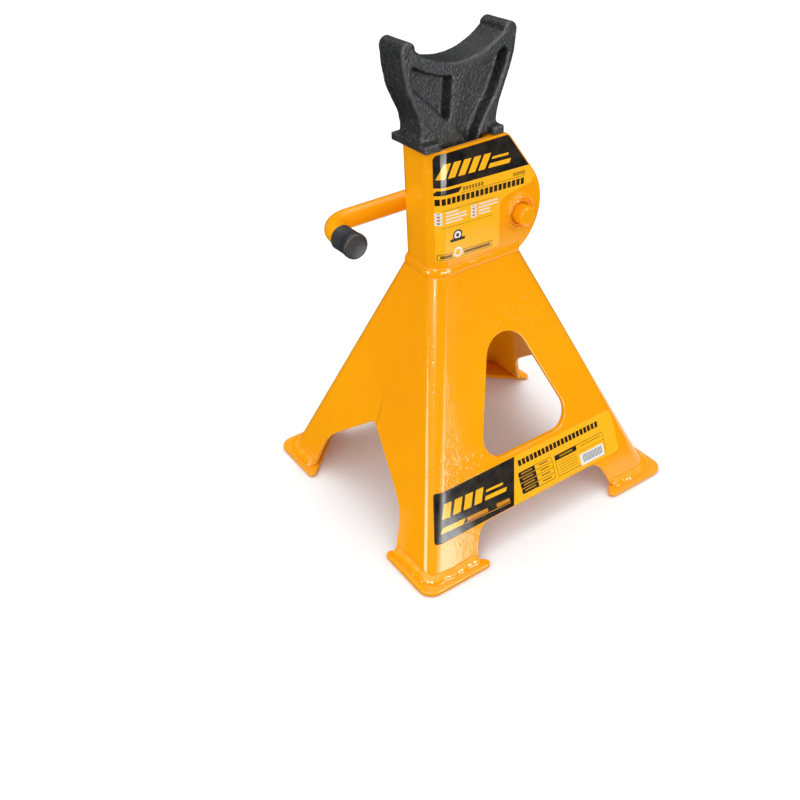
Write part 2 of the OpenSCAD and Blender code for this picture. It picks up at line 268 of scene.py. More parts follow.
# ---------------------------------------------------------------- material tools
class Nodes:
    """short calls that add shader nodes; inputs may be sockets or plain values"""
    def __init__(self, tree):
        self.tree = tree
        tree.nodes.clear()

    def new(self, kind):
        return self.tree.nodes.new("ShaderNode" + kind)

    def put(self, socket, value):
        if hasattr(value, "is_output"):
            self.tree.links.new(value, socket)
        else:
            socket.default_value = value

    def math(self, operation, a, b=None, clamp=False):
        n = self.new("Math")
        n.operation, n.use_clamp = operation, clamp
        self.put(n.inputs[0], a)
        if b is not None:
            self.put(n.inputs[1], b)
        return n.outputs[0]

    def plus(self, a, b):
        return self.math("ADD", a, b)

    def minus(self, a, b):
        return self.math("SUBTRACT", a, b)

    def times(self, a, b):
        return self.math("MULTIPLY", a, b)

    def above(self, a, b):
        return self.math("GREATER_THAN", a, b)

    def below(self, a, b):
        return self.math("LESS_THAN", a, b)

    def vec(self, operation, a, b=None):
        n = self.new("VectorMath")
        n.operation = operation
        self.put(n.inputs[0], a)
        if b is not None:
            self.put(n.inputs[1], b)
        return n.outputs[1 if operation in ("LENGTH", "DOT_PRODUCT") else 0]

    def map(self, value, span, to=(0, 1), eased=False):
        n = self.new("MapRange")
        if eased:
            n.interpolation_type = "SMOOTHSTEP"
        for socket, v in zip(n.inputs, (value, *span, *to)):
            self.put(socket, v)
        return n.outputs[0]

    def xyz(self, vector):
        n = self.new("SeparateXYZ")
        self.put(n.inputs[0], vector)
        return n.outputs

    def mix_shader(self, factor, a, b):
        n = self.new("MixShader")
        for socket, v in zip(n.inputs, (factor, a, b)):
            self.put(socket, v)
        return n.outputs[0]


class Material(Nodes):
    """a principled material in object coordinates (metres)"""
    def __init__(self, name):
        self.mat = bpy.data.materials.new(name)
        self.mat.use_nodes = True
        super().__init__(self.mat.node_tree)
        self.out = self.new("OutputMaterial")
        self.shader = self.new("BsdfPrincipled")
        self.put(self.out.inputs[0], self.shader.outputs[0])
        self.co = self.new("TexCoord").outputs["Object"]

    def set(self, **inputs):
        for name, value in inputs.items():
            self.put(self.shader.inputs[name.replace("_", " ")], value)

    def noise(self, scale, detail, rough=0.5, vector=None):
        n = self.new("TexNoise")
        n.inputs["Scale"].default_value = scale
        n.inputs["Detail"].default_value = detail
        n.inputs["Roughness"].default_value = rough
        self.put(n.inputs["Vector"], vector or self.co)
        return n.outputs[0]

    def voronoi(self, scale):
        n = self.new("TexVoronoi")
        n.inputs["Scale"].default_value = scale
        self.put(n.inputs["Vector"], self.co)
        return n.outputs[0]

    def mix(self, factor, a, b):
        n = self.new("Mix")
        n.data_type = "RGBA"
        self.put(n.inputs[0], factor)
        for socket, colour in ((n.inputs[6], a), (n.inputs[7], b)):
            self.put(socket, colour if hasattr(colour, "is_output") else (*colour, 1.0))
        return n.outputs[2]

    def bump(self, height, distance, after=None):
        n = self.new("Bump")
        n.inputs["Strength"].default_value = 1.0
        n.inputs["Distance"].default_value = distance
        self.put(n.inputs["Height"], height)
        if after is not None:
            self.put(n.inputs["Normal"], after)
        return n.outputs[0]


ORANGE = (0.96, 0.375, 0.002)
ORANGE_DEEP = (0.92, 0.335, 0.002)
ORANGE_LIGHT = (0.99, 0.42, 0.02)
YELLOW = (1.0, 0.475, 0.010)
DULL_ORANGE = (0.80, 0.30, 0.01)
BLACK = (0.007, 0.008, 0.009)
INK = (0.018, 0.010, 0.006)
WHITE = (0.82, 0.82, 0.80)


def orange_paint(name, waves, seam=False, peel=1.0):
    """glossy coat; waves and peel scale its broad and fine unevenness"""
    m = Material(name)
    broad = m.noise(scale=14, detail=2)
    col = m.mix(m.map(broad, span=(0.3, 0.7)), ORANGE, ORANGE_DEEP)
    fine = m.noise(scale=260, detail=3)
    col = m.mix(m.map(fine, span=(0.35, 0.75), to=(0.0, 0.16)), col, ORANGE_LIGHT)
    # a few tiny dust nibs and pin holes in the coat
    nib = m.times(m.below(m.voronoi(scale=240), 0.10),
                  m.above(m.noise(scale=60, detail=1), 0.62))
    nib_colour = (0.62, 0.19, 0.002)
    col = m.mix(m.times(nib, 0.35), col, nib_colour)
    height = m.plus(m.times(m.noise(scale=520, detail=2), 0.5 * peel),
                    m.times(m.noise(scale=1500, detail=1), 0.12 * peel))
    height = m.plus(height, m.times(nib, 0.5))
    # small flat drops where the coat gathered
    drops = m.times(m.map(m.voronoi(scale=360), span=(0.08, 0.34), to=(1.0, 0.0)),
                    m.map(m.noise(scale=26, detail=2), span=(0.5, 0.62)))
    height = m.plus(height, m.times(drops, 1.1 * peel))
    if seam:
        # a narrow groove on y = 0 that fades out as it rises, coloured darker as painted shade
        groove_half = 0.0009
        groove_painted_shade = (0.55, 0.15, 0.002)
        y, z = m.xyz(m.co)[1:3]
        near = m.below(m.math("ABSOLUTE", y), groove_half)
        low = m.map(z, span=(0.070, 0.092), to=(1.0, 0.0))
        across = m.math("DIVIDE", m.math("ABSOLUTE", y), groove_half)
        groove = m.times(m.math("SUBTRACT", 1.0, across, clamp=True), m.times(near, low))
        height = m.minus(height, m.times(groove, 2.5))
        # painted shade: the groove's colour darkens towards its middle
        col = m.mix(m.times(groove, 0.45), col, groove_painted_shade)
    peel_normal = m.bump(height, distance=0.00006)
    normal = m.bump(m.noise(scale=34, detail=1.5), distance=0.00020 * waves, after=peel_normal)
    rough = m.map(m.noise(scale=90, detail=3), span=(0.3, 0.7), to=(0.04, 0.09))
    m.set(Base_Color=col, Roughness=rough, Normal=normal, Specular_IOR_Level=0.5)
    return m.mat


def cast_iron(name):
    dark, grey = (0.013, 0.013, 0.014), (0.024, 0.024, 0.025)
    hollow, painted_glint, edge_grey = (0.003, 0.003, 0.003), (0.13, 0.13, 0.133), (0.12, 0.12, 0.123)
    m = Material(name)
    grain = m.noise(scale=760, detail=3, rough=0.7)
    pits = m.voronoi(scale=820)
    broad = m.noise(scale=22, detail=3)
    col = m.mix(m.map(broad, span=(0.3, 0.7)), dark, grey)
    # painted shade and painted glints: the colour darkens in the grain's hollows and lightens
    # on its peaks
    col = m.mix(m.map(grain, span=(0.30, 0.46), to=(0.75, 0.0)), col, hollow)
    col = m.mix(m.map(grain, span=(0.56, 0.70), to=(0, 0.9)), col, painted_glint)
    # lighter grey along the convex edges, in patches
    edges = m.map(m.new("NewGeometry").outputs["Pointiness"], span=(0.51, 0.57), to=(0, 0.5))
    patches = m.map(m.noise(scale=300, detail=3), span=(0.4, 0.6), to=(0.3, 1.0))
    col = m.mix(m.times(edges, patches), col, edge_grey)
    height = m.plus(m.times(grain, 1.0), m.times(pits, 0.5))
    height = m.plus(height, m.times(m.noise(scale=170, detail=2), 0.8))
    m.set(Base_Color=col, Roughness=m.map(grain, span=(0.3, 0.7), to=(0.42, 0.28)),
          Normal=m.bump(height, distance=0.00036))
    return m.mat


def rubber(name):
    dark, light = (0.022, 0.022, 0.024), (0.040, 0.040, 0.043)
    m = Material(name)
    grain = m.noise(scale=900, detail=3, rough=0.6)
    col = m.mix(m.map(m.noise(scale=80, detail=3), span=(0.35, 0.7)), dark, light)
    m.set(Base_Color=col, Roughness=m.map(grain, span=(0.3, 0.7), to=(0.34, 0.5)),
          Normal=m.bump(grain, distance=0.00008))
    return m.mat


def dark_steel(name):
    dark, light, rust = (0.30, 0.29, 0.28), (0.50, 0.49, 0.47), (0.20, 0.11, 0.06)
    m = Material(name)
    squeeze = m.new("Mapping")  # draws the grain into fine lines across Y
    squeeze.inputs["Scale"].default_value = (1, 12, 1)
    m.put(squeeze.inputs["Vector"], m.co)
    grain = m.noise(scale=240, detail=4, rough=0.6, vector=squeeze.outputs[0])
    col = m.mix(m.map(grain, span=(0.3, 0.7)), dark, light)
    col = m.mix(m.map(m.noise(scale=60, detail=4), span=(0.58, 0.7), to=(0, 0.5)), col, rust)
    m.set(Base_Color=col, Metallic=0.9,
          Roughness=m.map(grain, span=(0.3, 0.7), to=(0.3, 0.52)),
          Normal=m.bump(grain, distance=0.00006))
    return m.mat


class Print(Material):
    """flat artwork of plain shapes, in millimetres across X and up Z

    A box is (x0, x1, z0, z1). `at` gives skewed coordinates to draw in.
    """
    def __init__(self, name, ground):
        super().__init__(name)
        x, _, z = self.xyz(self.co)
        self.X, self.Z = self.times(x, 1000.0), self.times(z, 1000.0)
        self.flat = self.plane(self.X, self.Z)
        self.col = self.mix(0.0, ground, ground)

    def plane(self, x, z):
        n = self.new("CombineXYZ")
        self.put(n.inputs[0], x)
        self.put(n.inputs[1], z)
        return n.outputs[0]

    def skew(self, rise, lean=0.0, pivot_z=0.0):
        """coordinates rising per mm across and leaning per mm up from pivot_z"""
        z = self.minus(self.Z, self.times(self.X, rise))
        x = self.minus(self.X, self.times(self.minus(z, pivot_z), lean))
        return self.plane(x, z)

    def rect(self, box, radius=0.05, at=None):
        x0, x1, z0, z1 = box
        half_x, half_z = (x1 - x0) / 2, (z1 - z0) / 2
        r = min(radius, half_x - 0.001, half_z - 0.001)
        centre = ((x0 + x1) / 2, (z0 + z1) / 2, 0)
        d = self.vec("ABSOLUTE", self.vec("SUBTRACT", at or self.flat, centre))
        d = self.vec("SUBTRACT", d, (half_x - r, half_z - r, 1))
        d = self.vec("MAXIMUM", d, (0, 0, 0))
        return self.below(self.vec("LENGTH", d), r)

    def side(self, a, b, limit, at=None):
        """where a x + b z > limit"""
        return self.above(self.vec("DOT_PRODUCT", at or self.flat, (a, b, 0)), limit)

    def repeat(self, value, pitch, gap, start=None):
        """on for the part of each pitch beyond the fraction gap"""
        if start is not None:
            value = self.minus(value, start)
        return self.above(self.math("FRACT", self.math("DIVIDE", value, pitch)), gap)

    def all(self, first, *others):
        for mask in others:
            first = self.times(first, mask)
        return first

    def no(self, mask):
        return self.minus(1.0, mask)

    def paint(self, mask, colour, alpha=1.0):
        if alpha != 1.0:
            mask = self.times(mask, alpha)
        self.col = self.mix(mask, self.col, colour)

    def block(self, box, colour, alpha=1.0, radius=0.05, at=None):
        self.paint(self.rect(box, radius, at), colour, alpha)

    def disc(self, x, z, radius, colour):
        offset = self.vec("SUBTRACT", self.flat, (x, z, 0))
        self.paint(self.below(self.vec("LENGTH", offset), radius), colour)

    def frame(self, box, width, radius, at=None):
        x0, x1, z0, z1 = box
        hole = (x0 + width, x1 - width, z0 + width, z1 - width)
        self.paint(self.all(self.rect(box, radius, at),
                            self.no(self.rect(hole, max(radius - width, 0.05), at))), INK)

    def stripes(self, first, pitch, width, count, z, at):
        for i in range(count):
            x = first + pitch * i
            self.block((x, x + width, *z), YELLOW, radius=0.4, at=at)

    def words(self, box, count, gap, alpha=1.0, radius=0.35, at=None):
        """an even row of plain blocks"""
        along = self.xyz(at or self.flat)[0]
        on = self.repeat(along, pitch=(box[1] - box[0]) / count, gap=gap, start=box[0])
        self.paint(self.all(self.rect(box, radius, at), on), INK, alpha)

    def done(self):
        mottle = self.map(self.noise(scale=120, detail=3), span=(0.3, 0.7), to=(0.0, 0.06))
        col = self.mix(mottle, self.col, (0.5, 0.35, 0.2))
        fine = self.bump(self.noise(scale=700, detail=2), distance=0.000006)
        rough = self.map(self.noise(scale=200, detail=2), span=(0.3, 0.7), to=(0.06, 0.10))
        self.set(Base_Color=col, Roughness=rough,
                 Normal=self.bump(self.noise(scale=38, detail=1.5), distance=0.00016,
                                  after=fine))
        return self.mat


def head_print():
    rise = -0.044  # every line drops a little to the right
    p = Print("print_head", YELLOW)
    level = p.skew(rise)
    # black band along the top
    p.paint(p.side(0.036, 1.0, limit=213.1), BLACK)
    # slanting stripes and bars on the band
    slant = p.skew(rise, lean=0.5, pivot_z=222)
    p.stripes(first=-28.5, pitch=6.9, width=4.9, count=5, z=(217.6, 226.2), at=slant)
    p.block((6.2, 21.5, 217.6, 220.2), YELLOW, radius=0.4, at=slant)
    p.block((6.2, 18, 222.4, 223.8), YELLOW, radius=0.3, at=slant)
    # tag, short bars and a rule under the band
    tag_slant = p.skew(rise, lean=0.9, pivot_z=209.8)
    p.block((-31.5, -15.4, 208.4, 211.3), BLACK, radius=0.2, at=tag_slant)
    p.words((-14.2, 0.6, 208.5, 210.8), count=7, gap=0.3, alpha=0.7, radius=0.1, at=level)
    p.words((21.8, 31.0, 208.6, 210.8), count=6, gap=0.3, alpha=0.7, radius=0.1, at=level)
    p.block((-14.7, 31.0, 207.4, 207.7), INK, alpha=0.8, at=level)
    # heading, and the rules above and below the columns
    p.words((-32.0, 30.6, 202.6, 206.4), count=19, gap=0.26, at=level)
    p.block((-27.7, 8, 199.3, 199.55), INK, alpha=0.85, at=level)
    p.block((-28.3, 7.8, 188.8, 189.05), INK, alpha=0.85, at=level)
    # two columns of white tabs with pale lines beside them
    level_z = p.plus(p.Z, p.times(p.X, -rise))
    rows, lines = (p.repeat(level_z, pitch=1.95, gap=gap, start=190.4) for gap in (0.2, 0.52))
    for x in (-31.6, -8.1):
        tab, mark = (x, x + 4.0, 190.4, 198.2), (x + 1.2, x + 2.8, 190.8, 197.8)
        p.paint(p.all(p.rect(tab, 0.5, level), rows), WHITE)
        p.paint(p.all(p.rect(mark, 0.2, level), lines), INK, alpha=0.75)
    # each block of lines, then the boxes where a line stops short
    for box, *gaps in (((-25.8, -11.0, 190.4, 198.2), (-17, -10, 196.2, 199),
                        (-14, -10, 190, 192.3)),
                       ((-2.7, 11.5, 190.4, 198.2), (6, 12, 190, 194.3))):
        short = [p.no(p.rect(gap, 0.1, level)) for gap in gaps]
        p.paint(p.all(p.rect(box, 0.2, level), lines, *short), WHITE, alpha=0.8)
    # round mark on a dark foot
    for radius, colour in ((3.3, INK), (2.4, WHITE), (1.1, INK)):
        p.disc(-17.6, 183.6, radius, colour)
    p.block((-22.8, -12.4, 179.2, 181.0), INK, radius=0.5, at=level)
    # box at the foot of the label, with a disc on its top edge
    p.frame((-30.7, 7.6, 168.9, 172.8), width=0.32, radius=0.5, at=level)
    p.block((-29.2, -21.6, 169.9, 171.8), INK, alpha=0.8, radius=0.2, at=level)
    p.block((-13.0, 6.2, 169.9, 171.8), INK, alpha=0.8, radius=0.2, at=level)
    p.disc(-17.4, 172.8, 3.1, WHITE)
    p.disc(-17.4, 172.8, 1.9, YELLOW)
    return p.done()


def base_print():
    rise = -0.045
    p = Print("print_base", YELLOW)
    level = p.skew(rise)
    # black left part up to a slanted edge
    p.paint(p.side(-1.0, 0.3226, limit=28.11, at=level), BLACK)
    slant = p.skew(rise, lean=0.5, pivot_z=36)
    p.stripes(first=-70.5, pitch=7.9, width=5.7, count=4, z=(31.8, 39.9), at=slant)
    p.block((-38.6, -22.0, 31.8, 34.2), YELLOW, radius=0.4, at=slant)
    p.block((-38.6, -25.5, 36.2, 37.6), YELLOW, radius=0.3, at=slant)
    tag_slant = p.skew(rise, lean=0.9, pivot_z=25.6)
    p.block((-75.0, -58.4, 24.2, 27.2), YELLOW, radius=0.3, at=tag_slant)
    p.block((-56.0, -40.2, 24.9, 27.2), DULL_ORANGE, alpha=0.8, radius=0.2, at=level)
    p.block((-33.4, -23.2, 25.0, 27.2), DULL_ORANGE, alpha=0.8, radius=0.2, at=level)
    p.block((-58.4, -23.0, 24.0, 24.35), DULL_ORANGE, at=level)
    # heading
    p.words((-11.6, 56.2, 42.9, 46.5), count=21, gap=0.26)
    # small table: dark tabs with a ruled grid
    row_pitch = 3.45
    rows = p.repeat(p.Z, pitch=row_pitch, gap=0.09, start=25.6)

    def entries(box, colour, alpha):
        lines = p.repeat(p.Z, pitch=row_pitch, gap=0.74, start=24.6)
        p.paint(p.all(p.rect(box, 0.1), lines), colour, alpha)
    p.paint(p.all(p.rect((-12.8, 0.7, 25.6, 39.4), 1.2), rows), BLACK)
    entries((-10.5, -1.6, 26.4, 39.0), YELLOW, alpha=0.45)
    p.frame((-1.2, 14.7, 25.6, 39.4), width=0.28, radius=1.2)
    p.paint(p.all(p.rect((0.7, 14.6, 25.6, 39.4), 0.8), p.no(rows)), INK, alpha=0.9)
    entries((4.0, 11.6, 26.4, 39.0), INK, alpha=0.7)
    # ruled box: dark tab, dashed lines and a white block of upright stripes
    p.frame((17.0, 58.6, 25.3, 38.6), width=0.3, radius=1.2)
    p.block((17.0, 35.4, 35.4, 38.6), BLACK, radius=0.8)
    p.block((21.0, 32.0, 36.5, 37.5), YELLOW, alpha=0.45, radius=0.1)
    dash = p.repeat(p.X, pitch=1.7, gap=0.3)
    p.paint(p.all(p.rect((38.4, 56.4, 36.3, 37.1), 0.1), dash), INK, alpha=0.65)
    p.paint(p.all(p.rect((19.2, 34.6, 26.4, 34.6), 0.1), dash,
                  p.repeat(p.Z, pitch=1.6, gap=0.66, start=26.0)), INK, alpha=0.6)
    p.block((36.6, 58.4, 33.6, 33.85), INK, alpha=0.7)
    p.block((36.5, 57.0, 24.6, 31.8), WHITE, radius=0.3)
    stripe_grey = (0.10, 0.10, 0.11)
    upright = p.repeat(p.X, pitch=1.2, gap=0.5)
    p.paint(p.all(p.rect((38.4, 55.2, 26.0, 30.9), 0.1), upright), stripe_grey)
    return p.done()


M_SHEET = orange_paint("paint_sheet", waves=1.0, seam=True)
M_HEAD = orange_paint("paint_head", waves=0.9, peel=1.2)
M_PART = orange_paint("paint_small_parts", waves=0.4)
M_WELD = orange_paint("paint_over_weld", waves=0.5, peel=1.6)
M_IRON = cast_iron("black_casting")
M_RUBBER = rubber("black_rubber_cap")
M_STEEL = dark_steel("bare_steel")


def piece(o, body, material, replaced):
    """give a finished mesh its material and its place in the product"""
    o.data.materials.clear()
    o.data.materials.append(material)
    for p in o.data.polygons:
        p.material_index = 0
    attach(o, body)
    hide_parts(replaced)


# ---------------------------------------------------------------- pressed pyramid
def pyramid_sides(z):
    """x of the left and right sides and half depth at height z"""
    rise = z - FOOT_T
    return (-SKIRT_X + rise * LEAN_LEFT, SKIRT_X - rise * LEAN_RIGHT, SKIRT_Y - rise * LEAN_Y)


def pyramid_ring(z, inset):
    """rounded outline of the pyramid at height z, moved in by inset"""
    steps = 14
    r = CORNER_R - inset
    left, right, half_y = pyramid_sides(z)
    x0, x1, y = left + CORNER_R, right - CORNER_R, half_y - CORNER_R
    corners = ((x1, y, 0), (x0, y, 90), (x0, -y, 180), (x1, -y, 270))
    return [(px, py, z) for cx, cy, start in corners
            for px, py in arc_points((cx, cy), r, steps, start, start + 90)]


def pyramid_shell():
    outer, inner = ([pyramid_ring(z, inset) for z in (FOOT_T, BASE_TOP)]
                    for inset in (0, SHEET_T))
    n = len(outer[0])
    verts = outer[0] + outer[1] + inner[0] + inner[1]
    faces = []
    for i in range(n):
        j = (i + 1) % n
        faces += [[i, j, n + j, n + i], [2 * n + i, 3 * n + i, 3 * n + j, 2 * n + j],
                  [n + i, n + j, 3 * n + j, 3 * n + i], [i, 2 * n + i, 2 * n + j, j]]
    o = mesh_obj("shell", verts, faces)
    # rounded triangular window through front and rear
    window = hull(arc_points((1.5, 104), 16, 72) + arc_points((-18.5, 64.5), 12, 64)
                  + arc_points((21.5, 64.5), 12, 64))
    # (x, z) of the low opening through front and rear
    low_arch = [
        (-57, -1), (-55.2, 4), (-53.2, 10), (-50.6, 15.4), (-49.2, 17.5), (-47.4, 19.2),
        (-45.6, 20.4), (-43.4, 21.1), (-40, 21.5), (41.6, 21.5), (45, 21.1), (47.2, 20.4),
        (49, 19.2), (50.8, 17.5), (52.2, 15.4), (54.8, 10), (56.8, 4), (58.6, -1)]
    # (y, z) of one half of the tall opening in the left and right sides
    arch_half = [
        (-51.5, -1), (-50.2, 6), (-48.4, 14), (-46.2, 21), (-44.6, 24.6), (-42.6, 27.4),
        (-40.2, 30.2), (-37.4, 32.8), (-30, 38.6), (-5.6, 57.4), (-2.8, 59.7)]
    side_arch = arch_half + [(0, 60.6)] + [(-y, z) for y, z in arch_half[::-1]]
    shift_y, shift_z, reach = 3, 1.5, 120
    boolean(o, [
        prism("window", window, "y", -reach, reach),
        prism("low_arch", low_arch, "y", -reach, reach),
        prism("left_arch", [(y + shift_y, z + shift_z) for y, z in side_arch], "x", -reach, 0),
        prism("right_arch", [(y - shift_y, z + shift_z) for y, z in side_arch], "x", 0, reach)])
    tidy(o)
    round_edges(o, 0.75)
    return o


def shell_half(shell, sign, name):
    """the part of the shell on one side of y = 0, closed at the cut"""
    o = shell.copy()
    o.data = shell.data.copy()
    o.name = o.data.name = name
    bpy.context.scene.collection.objects.link(o)
    bm = bmesh.new()
    bm.from_mesh(o.data)
    bmesh.ops.bisect_plane(
        bm, geom=list(bm.verts) + list(bm.edges) + list(bm.faces), plane_co=(0, 0, 0),
        plane_no=(0, -sign, 0), clear_outer=True, dist=1e-7)
    bmesh.ops.holes_fill(bm, edges=[e for e in bm.edges if e.is_boundary], sides=0)
    bmesh.ops.recalc_face_normals(bm, faces=bm.faces)
    bm.to_mesh(o.data)
    bm.free()
    return o


def build_shell():
    shell = pyramid_shell()
    front = shell_half(shell, -1, "front_shell_half")
    rear = shell_half(shell, 1, "rear_shell_half")
    bpy.data.objects.remove(shell)
    for o, replaced in ((front, "base_shell_front"), (rear, "base_shell_rear")):
        piece(smooth(o), "stand", M_SHEET, replaced)


def build_seam_bead(sign, name, replaced):
    """upright bead on the inner face of the left (-1) or right (+1) side"""
    low_z, high_z, steps = 66.0, 156.0, 120
    stations = []
    for k in range(steps + 1):
        t = k / steps
        z = low_z + (high_z - low_z) * t
        left, right, _ = pyramid_sides(z)
        x = left + SHEET_T if sign < 0 else right - SHEET_T
        taper = min(1.0, 0.25 + 18 * min(t, 1 - t))
        width = (2.3 + 0.35 * noise_at(z * 0.3, sign, 2)) * taper
        ripple = 0.16 * math.sin(z * 2.2) + 0.2 * noise_at(z * 0.4, sign, 5)
        depth = (1.0 + ripple) * taper
        angles = [math.pi * j / 8 for j in range(9)]
        section = [(x - sign * (0.02 + depth * math.sin(a)), -width * math.cos(a), z)
                   for a in angles]
        section.append((x + sign * 0.5, 0, z))
        stations.append(section)
    piece(smooth(sweep(name, stations), False), "stand", M_WELD, replaced)


# ---------------------------------------------------------------- feet
CORNERS = {"front_left": (-1, -1), "front_right": (1, -1),
           "rear_left": (-1, 1), "rear_right": (1, 1)}


def build_feet():
    tip = PLATE_TIP_R
    plate = hull(arc_points((-PLATE_CORNER_R, -PLATE_CORNER_R), PLATE_CORNER_R, 72)
                 + arc_points((tip - PLATE_LENGTH_X, -tip), tip, 48)
                 + arc_points((-tip, tip - PLATE_LENGTH_Y), tip, 48))
    for corner, (sx, sy) in CORNERS.items():
        outline = [(sx * (PLATE_X + x), sy * (PLATE_Y + y)) for x, y in plate]
        o = prism(corner + "_foot", outline, "z", 0, FOOT_T)
        round_edges(o, 0.9, 4)
        piece(smooth(o), "stand", M_PART, "foot_plate_" + corner)


def foot_path(sx, sy):
    """(point, outward direction, lean of the sheet) round the outside of one leg"""
    straight_steps, corner_steps = 34, 20
    start_x = 55.2 if sx < 0 else 57.0
    end_y = 48.6 if sx * sy > 0 else 54.4
    lean = LEAN_LEFT if sx < 0 else LEAN_RIGHT
    cx, cy = SKIRT_X - CORNER_R, SKIRT_Y - CORNER_R
    path = []
    for i in range(straight_steps):
        x = start_x + (cx - start_x) * i / straight_steps
        path.append(((x, SKIRT_Y), (0, 1), LEAN_Y))
    for i in range(corner_steps):
        a = math.radians(90 - 90 * i / corner_steps)
        c, s = math.cos(a), math.sin(a)
        path.append(((cx + CORNER_R * c, cy + CORNER_R * s), (c, s), LEAN_Y * s + lean * c))
    for i in range(straight_steps + 1):
        path.append(((SKIRT_X, cy - (cy - end_y) * i / straight_steps), (1, 0), lean))
    return path


def build_foot_bead(corner, sx, sy):
    path = foot_path(sx, sy)
    runs = running_lengths([p for p, _, _ in path])
    bulge, buried = 0.40, -0.8
    stations = []
    for (p, out, lean), run in zip(path, runs):
        end = end_taper(run, runs[-1], least=0.25, length=3.2)
        uneven = noise_at(run * 0.16, sx * 3.1, sy * 7.7)
        ripple = 0.10 * math.sin(run * 2.3 + 1.5 * uneven)
        width = (3.75 + 0.75 * uneven + ripple) * end
        height = (3.9 + 0.7 * noise_at(run * 0.13, sx + 9, sy + 4) + ripple) * end
        section = []  # (outwards, up)
        for j in range(11):
            t = math.pi / 2 * j / 10
            swell = bulge * math.sin(2 * t) * end
            u = width * math.cos(t) ** 1.15 + swell
            w = height * math.sin(t) ** 1.15 + swell
            section.append((u - lean * w, w))
        section += [(buried - lean * height, height * 0.96), (buried, -0.25),
                    (width * 0.97, -0.25)]
        stations.append([(sx * (p[0] + out[0] * u), sy * (p[1] + out[1] * u), FOOT_T + w)
                         for u, w in section])
    o = sweep(corner + "_foot_bead", stations)
    piece(smooth(o, False), "stand", M_WELD, "foot_weld_" + corner)


# ---------------------------------------------------------------- head
def head_outline(grow, open_x, steps=18):
    """plan of the channel from its open front end, round the web, to the rear end"""
    r, cx, cy = HEAD_R + grow, WEB_X + HEAD_R, HEAD_HALF_Y - HEAD_R
    points = [(open_x, -HEAD_HALF_Y - grow)]
    for y, start, end in ((-cy, 270, 180), (cy, 180, 90)):
        for t in map(math.radians, np.linspace(start, end, steps + 1)):
            points.append((cx + r * math.cos(t), y + r * math.sin(t)))
    return points + [(open_x, HEAD_HALF_Y + grow)]


def ear_tangent():
    """angle in degrees at which a common tangent leaves the bulge for the tip"""
    dx, dz = EAR_TIP[0] - EAR_BULGE[0], EAR_TIP[1] - EAR_BULGE[1]
    turn = math.acos((EAR_BULGE_R - EAR_TIP_R) / math.hypot(dx, dz))
    return math.degrees(math.atan2(dz, dx) - turn)


def build_head_walls():
    plan = head_outline(0, HEAD_CUT_X) + head_outline(-HEAD_T, HEAD_CUT_X)[::-1]
    o = prism("head_walls", plan, "z", BASE_TOP, HEAD_TOP)
    tangent = ear_tangent()
    foot_angle = -math.degrees(math.asin((EAR_BULGE[1] - BASE_TOP) / EAR_BULGE_R))
    ear = [(WEB_X - 1, BASE_TOP)]
    ear += arc_points(EAR_BULGE, EAR_BULGE_R, 72, foot_angle, tangent)
    ear += arc_points(EAR_TIP, EAR_TIP_R, 16, tangent, 90)
    ear += [(WEB_X - 1, HEAD_TOP)]
    boolean(o, [prism("ear", ear, "y", -HEAD_HALF_Y - 2, HEAD_HALF_Y + 2)], "INTERSECT")
    boolean(o, [cylinder("hole", 6.1, 30, PIVOT_X, PIVOT_Z, 72)])
    tidy(o)
    round_edges(o, 0.8)
    piece(smooth(o), "stand", M_HEAD, "head_channel")


def build_head_bead():
    """weld bead round the outside of the head where it meets the pyramid"""
    spacing, open_x = 0.8, 28.2
    lump_x, lump_y, lump_spread = -33, 13.5, 7.0
    outline = [Vector(p) for p in head_outline(0, open_x, 20)]
    spots = []
    for a, b in zip(outline, outline[1:]):
        count = max(1, int((b - a).length / spacing))
        spots += [a.lerp(b, j / count) for j in range(count)]
    spots.append(outline[-1])
    runs = running_lengths(spots)
    last = len(spots) - 1
    stations = []
    for i, (p, run) in enumerate(zip(spots, runs)):
        ahead = (spots[min(i + 1, last)] - spots[max(i - 1, 0)]).normalized()
        out = Vector((ahead.y, -ahead.x))
        if abs(p.y) >= HEAD_HALF_Y - 0.1:
            out = Vector((0, math.copysign(1, p.y)))
        elif out.dot(p) < 0:
            out = -out
        end = end_taper(run, runs[-1], least=0.3, length=2.5)
        uneven = noise_at(run * 0.11, 3.3, 1.7)
        ripple = 0.05 * math.sin(run * 2.1)
        lump = 0.9 * math.exp(-((p.x - lump_x) ** 2 + (p.y - lump_y) ** 2) / lump_spread)
        a = (1.45 + 0.45 * uneven + ripple + lump) * end
        h = 5.1 + 0.5 * noise_at(run * 0.09, 8.1, 0.4) + 0.5 * lump
        # (outwards, up): buried foot, rounded face, buried top
        section = [(-0.4, -0.3), (a * 0.9, -0.3), (a * 1.0, 0.6), (a * 0.98, h * 0.35),
                   (a * 0.86, h * 0.6), (a * 0.62, h * 0.8), (a * 0.3, h * 0.94),
                   (0.02, h), (-0.4, h)]
        stations.append([(p.x + out.x * u, p.y + out.y * u, BASE_TOP + w)
                         for u, w in section])
    o = sweep("head_foot_bead", stations)
    piece(smooth(o, False), "stand", M_WELD, "head_weld")


def build_crossbar():
    """round bar across the head, run into the walls with a small fillet"""
    radius, fillet, fillet_length, fillet_y = 7.0, 0.9, 1.2, -14.1
    profile = [(radius + fillet, -14.3)]
    for k in range(7):
        a = math.pi / 2 * k / 6
        profile.append((radius + fillet * (1 - math.sin(a)),
                        fillet_y + fillet_length * (1 - math.cos(a))))
    profile += [(r, -h) for r, h in profile[::-1]]

    def fade_on_top(r, h, t):
        # the fillet fades out at the rim, where the bar lies flush
        up = max(0.0, math.cos(t))
        return radius + (r - radius) * (1 - up ** 2) + 0.02 * math.sin(5 * t), h
    origin = (13.5, 0, HEAD_TOP - radius)
    o = lathe("round_crossbar", profile, origin, Y_AXIS, 80, fade_on_top)
    piece(smooth(o), "stand", M_PART, "guide_crossbar")


